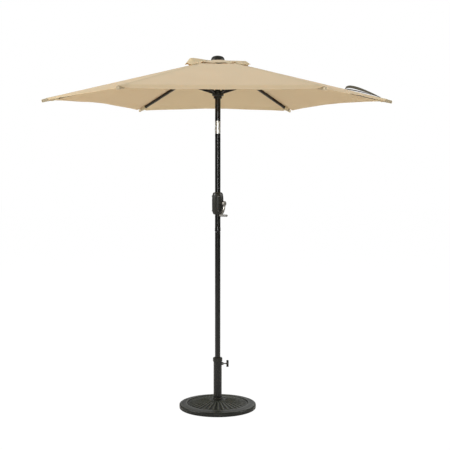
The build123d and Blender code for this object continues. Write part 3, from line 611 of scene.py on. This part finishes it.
def strapLoop():
    # Two lengths of tape sewn down at both ends. Each is a line of height over length, carried
    # across the tape's width: the upper one springs up fast and comes down slowly.
    s = strap
    t = np.linspace(0, 1, 61)[:, None]
    across = np.linspace(-0.5, 0.5, 9)[None, :] * s["width"]
    along = s["start"] + (s["end"] - s["start"]) * t
    foot = ribs["seat"] + s["foot"]
    upper = foot + s["rise"] * np.sin(math.pi * t ** 0.53) ** 0.8 * (1 - 0.25 * t)
    lower = foot + s["lowerRise"] * np.sin(math.pi * t ** 0.8)
    made = []
    for level, most, name in zip((upper, lower), s["twist"], ("strap_upper", "strap_lower")):
        twist = most * np.sin(math.pi * t ** 0.5) ** 0.6
        x, y = np.broadcast_arrays(along, across * np.cos(twist))
        z = level + across * np.sin(twist)
        middle = np.stack([x, y, z], -1)
        normal = gridNormals(middle)
        normal = normal * np.sign(normal[..., 2:3])
        weave = {"weave": np.stack([y, x], -1)}
        half = normal * s["thickness"] / 2
        made.append(shellFrom(name, fromRib(middle + half, 1), fromRib(middle - half, 1), weave))
    return made


for piece in strapLoop():
    dress(piece, finishes["strap_webbing"])
    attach(piece, "rib_1")
    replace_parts(piece, "tie_strap")
print("strap: 2 lengths")

# ---- stand

stand = {
    "radius": float(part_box("base_disc")[1].x),
    "top": float(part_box("base_disc")[1].z),
    "rimTop": 0.028,
    "socket": 0.0276,
    "ringInner": 0.204,
    "rays": 36,
    "perRay": 16,       # points round each ray
    "ridge": 0.0022,
    "valley": 0.0007,
    "crown": 0.003,     # step down from the socket's top to the dome
    "dome": (0.046, 0.198),
    "domePower": 1.18,
}


def roundCorner(middle, radius, start, end, steps):
    # points on an arc about middle, angles in degrees
    angle = np.radians(np.linspace(start, end, steps))
    return np.stack([middle[0] + radius * np.cos(angle), middle[1] + radius * np.sin(angle)], -1)


def weightedStand():
    # The stand's disc as rings of points: socket, crown, dome with the sunburst, groove, ring,
    # rounded rim, underside. Each ray is a ridge that rises in a smooth step from both its edges,
    # with a shallow valley between it and the next.
    s = stand
    rim, inner = s["rimTop"], s["ringInner"]
    domeStart, domeEnd = s["dome"]
    domeTop, domeSpan = s["top"] - s["crown"], domeEnd - domeStart
    domeLine = [(r, domeTop - (domeTop - rim - 0.001) * ((r - domeStart) / domeSpan) ** s["domePower"])
                for r in np.linspace(domeStart, domeEnd, 58)]
    profile = np.vstack([
        [(s["socket"], 0.014), (s["socket"], s["top"] - 0.0012), (s["socket"] + 0.001, s["top"])],
        [(0.038, s["top"])], roundCorner((0.040, s["top"] - 0.004), 0.004, 85, 20, 5),
        domeLine,
        [(0.1985, rim + 0.0004), (0.1995, rim + 0.0002), (0.2003, rim + 0.0008),
         (0.2016, rim + 0.0045)],
        roundCorner((inner + 0.0008, rim + 0.0036), 0.0024, 160, 75, 6),
        [(0.212, rim + 0.0050), (0.222, rim + 0.0042), (0.234, rim + 0.0026),
         (0.242, rim + 0.0010)],
        roundCorner((s["radius"] - 0.0075, rim - 0.0072), 0.0075, 84, 4, 9),
        [(s["radius"], 0.012), (s["radius"], 0.006)],
        roundCorner((s["radius"] - 0.005, 0.005), 0.005, 0, -90, 6),
        [(0.20, 0), (0.12, 0), (0.031, 0), (0.030, 0.001), (0.030, 0.012),
         (s["socket"], 0.012), (s["socket"], 0.014)],
    ])
    segments = s["rays"] * s["perRay"]
    angle = np.linspace(0, 2 * math.pi, segments, endpoint=False)[None, :]
    r, z = profile[:, :1], profile[:, 1:]
    onDome = (z > rim - 0.001) * smoothStep(0.050, 0.060, r) * smoothStep(0.193, 0.186, r)
    halfRay = 0.34 - 0.12 * smoothStep(0.06, 0.19, r)
    across = np.abs(((angle * s["rays"] / (2 * math.pi) + 0.5) % 1) - 0.5)
    ridge = smoothStep(halfRay, halfRay * 0.25, across) * onDome
    valley = smoothStep(halfRay, 0.5, across) * onDome
    height = z + s["ridge"] * ridge - s["valley"] * valley
    points = np.stack([r * np.cos(angle), r * np.sin(angle), height], -1)
    ringRub = np.exp(-((r - 0.2065) / 0.006) ** 2) * 0.7
    # painted highlight: a lighter band along the rim's rounded upper edge
    paintedRimHighlight = np.exp(-((r - 0.243) / 0.006) ** 2) * 0.55
    # relief holds rubbed wear on the rays and the ring, plus the painted rim highlight
    relief = np.clip(ridge + (ringRub + paintedRimHighlight) * (z > 0.01) + 0 * angle, 0, 1)
    quads = gridQuads(len(profile), segments, wrap=True)[:, ::-1]
    return meshFrom("standDisc", points, quads, {"relief": np.stack([relief, relief], -1)})


disc = dress(weightedStand(), stoneCoat)
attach(disc, "stand")
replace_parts(disc, "base_disc")
print("stand: disc with", stand["rays"], "rays")

# ---- crank housing and tilt button

housing = {
    "middle": 1.357,
    "halfHeight": 0.073,
    "radius": 0.0375,
    "poleFit": 0.0184,
    "square": 0.60,      # power on sine and cosine: 1 is round, towards 0 is boxy
    "wall": 0.0028,
    "heading": math.radians(-35),
    "narrowing": 0.16,   # how much the crank side draws in towards the bottom
    "parting": math.radians(0.7),
    "neck": (0.0325, 0.0462, 0.0135),
    "screws": [(-1, 0.047), (-1, -0.047), (1, 0.047), (1, -0.047)],
    "screwReach": 0.0225,
    "screwDepth": 0.0285,
}


def housingRadius(turn, rise, radius):
    # radius of the boxy profile: the pole's, plus the rest times a power of the cosine of rise;
    # turn is the angle from the crank's side, rise runs -90 to 90 degrees
    h = housing
    drawn = h["narrowing"] * np.clip(np.cos(turn), 0, 1) * smoothStep(0.1, -1.0, np.sin(rise))
    return h["poleFit"] + (radius * (1 - drawn) - h["poleFit"]) * np.cos(rise) ** h["square"]


def housingHalf(name, facing):
    # one moulded half: a grid of turn round the pole and rise from its middle, inside and out
    h = housing
    quarter = math.pi / 2
    turn = np.linspace(-quarter + h["parting"], quarter - h["parting"], 65)[None, :] + facing * quarter
    rise = np.radians(np.linspace(-90, 90, 81))[:, None]
    rise = np.clip(rise, -1.5707, 1.5707)  # keeps the cosine above nothing

    def skin(inset):
        r = housingRadius(turn, rise, h["radius"] - inset)
        level = np.sign(np.sin(rise)) * np.abs(np.sin(rise)) ** h["square"]
        z = h["middle"] + (h["halfHeight"] - inset) * level
        angle = turn + h["heading"]
        return np.stack([r * np.cos(angle), r * np.sin(angle), z + 0 * angle], -1)

    piece = shellFrom(name, skin(0), skin(h["wall"]))
    dress(piece, finishes["dark_plastic"])
    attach(piece, "mast")
    return piece


def turned(name, profile, place, along, segments=40):
    # profile of (radius, length) turned about a line from place in the direction along
    profile = np.asarray(profile, float)
    along = np.asarray(along, float)
    side = np.cross(along, (0, 0, 1.0))
    side = side / np.linalg.norm(side)
    up = np.cross(side, along)
    angle = np.linspace(0, 2 * math.pi, segments, endpoint=False)[None, :, None]
    r, length = profile[:, 0, None, None], profile[:, 1, None, None]
    points = np.asarray(place) + along * length + r * (side * np.cos(angle) + up * np.sin(angle))
    return meshFrom(name, points, gridQuads(len(profile), segments, wrap=True))


for name, facing in (("crank_housing_front", -1), ("crank_housing_rear", 1)):
    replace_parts(housingHalf(name + "_shell", facing), name)
crankward = np.array([math.cos(housing["heading"]), math.sin(housing["heading"]), 0])
frontward = np.array([crankward[1], -crankward[0], 0])
neckStart, neckEnd, neckRadius = housing["neck"]
neck = turned("crankNeck", [(neckRadius + 0.004, neckStart), (neckRadius + 0.0012, neckStart + 0.004),
                            (neckRadius, neckStart + 0.007), (neckRadius, neckEnd - 0.001),
                            (neckRadius - 0.001, neckEnd), (0.0052, neckEnd), (0.005, neckEnd - 0.006)],
              (0, 0, housing["middle"]), crankward)
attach(dress(neck, finishes["dark_plastic"]), "mast")
for index, (side, rise) in enumerate(housing["screws"]):
    # a pan head on a short boss; the boss starts inside the shell
    place = crankward * side * housing["screwReach"] + np.array([0, 0, housing["middle"] + rise])
    depth = housing["screwDepth"]
    boss = turned(f"screwBoss_{index + 1}", [(0.0062, depth - 0.006), (0.0062, depth - 0.0006),
                                            (0.0056, depth), (0.0046, depth), (0.0046, depth - 0.001)],
                  place, frontward, 28)
    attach(dress(boss, finishes["dark_plastic"]), "mast")
    head = turned(f"housingScrew_{index + 1}", [(0.0045, depth - 0.0012), (0.0044, depth + 0.0004),
                                                (0.0034, depth + 0.0012), (0.0014, depth + 0.0014),
                                                (0.0012, depth + 0.0002), (0.0001, depth + 0.0002)],
                  place, frontward, 28)
    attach(dress(head, finishes["hardware"]), "mast")
    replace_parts(head, "housing_screws")

spring = frame["nodes"]["tilt_spring"]
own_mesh(spring)
print("housing: two shells, neck and screws")

# ---- studio

studio = {
    "floor": linear(240, 238, 235),
    "floorReach": 30.0,
    "floorGlow": 0.97,
    "floorLevel": 1.025,
    "ambient": 0.16,
    "cameraPlace": (-0.135, -6.060, 1.5836),
    "cameraDown": 3.48,
    "cameraHeading": -1.728,
    "cameraRoll": 0.06,
    "lens": 73.88,
}

# place, what it points at, width and height, watts
lights = {
    "keyLeft": ((-6.2, -0.9, 4.3), (0, 0, 2.1), (2.4, 2.4), 520),
    "keyRight": ((6.2, -0.7, 4.3), (0, 0, 2.1), (2.4, 2.4), 385),
    "overhead": ((0, 0.4, 6.2), (0, 0, 2.0), (4.0, 4.0), 34),
    "frontBox": ((-0.25, -7.6, 2.05), (0, 0, 1.75), (0.45, 1.5), 150),
    "backBox": ((0.8, 6.5, 3.0), (0, 0, 1.4), (4.0, 2.4), 40),
}


def studioFloor():
    # pale paint that lights the object, and a glow that the camera sees in its place
    reach = studio["floorReach"]
    points = [(-reach, -reach, 0), (reach, -reach, 0), (reach, reach, 0), (-reach, reach, 0)]
    floor = meshFrom("studioFloor", points, [(0, 1, 2, 3)])
    m = Maker("floorPaint")
    seen = m.node("ShaderNodeLightPath")
    paint = m.node("ShaderNodeBsdfDiffuse", {"Color": studio["floor"]})
    glow = m.node("ShaderNodeEmission", {"Color": (1, 1, 1, 1), "Strength": studio["floorLevel"]})
    floor.data.materials.append(m.finish(m.node(
        "ShaderNodeMixShader", {0: seen * studio["floorGlow"], 1: paint, 2: glow})))


def studioWorld():
    # white behind the object, and a softer white for what lights it
    world = bpy.data.worlds.new("studio")
    scene.world = world
    world.use_nodes = True
    tree = world.node_tree
    tree.nodes.clear()
    seen, lit, choose, rays, output = (tree.nodes.new(kind) for kind in (
        "ShaderNodeBackground", "ShaderNodeBackground", "ShaderNodeMixShader", "ShaderNodeLightPath",
        "ShaderNodeOutputWorld"))
    seen.inputs["Color"].default_value = (1, 1, 1, 1)
    lit.inputs["Color"].default_value = (1, 1, 1, 1)
    lit.inputs["Strength"].default_value = studio["ambient"]
    tree.links.new(rays.outputs["Is Camera Ray"], choose.inputs[0])
    tree.links.new(lit.outputs[0], choose.inputs[1])
    tree.links.new(seen.outputs[0], choose.inputs[2])
    tree.links.new(choose.outputs[0], output.inputs[0])


def areaLight(name, place, target, size, power):
    data = bpy.data.lights.new(name, "AREA")
    data.shape = "RECTANGLE"
    data.size, data.size_y = size
    data.energy = power
    lamp = bpy.data.objects.new(name, data)
    scene.collection.objects.link(lamp)
    lamp.location = place
    lamp.rotation_euler = (Vector(target) - Vector(place)).to_track_quat("-Z", "Y").to_euler()


def studioCamera():
    data = bpy.data.cameras.new("camera")
    data.lens = studio["lens"]
    camera = bpy.data.objects.new("camera", data)
    scene.collection.objects.link(camera)
    camera.matrix_world = (
        Matrix.Translation(studio["cameraPlace"])
        @ Matrix.Rotation(math.radians(studio["cameraHeading"]), 4, "Z")
        @ Matrix.Rotation(math.radians(90 - studio["cameraDown"]), 4, "X")
        @ Matrix.Rotation(math.radians(studio["cameraRoll"]), 4, "Z"))
    scene.camera = camera


studioFloor()
studioWorld()
for name, setting in lights.items():
    areaLight(name, *setting)
studioCamera()
scene.view_settings.view_transform = "Standard"
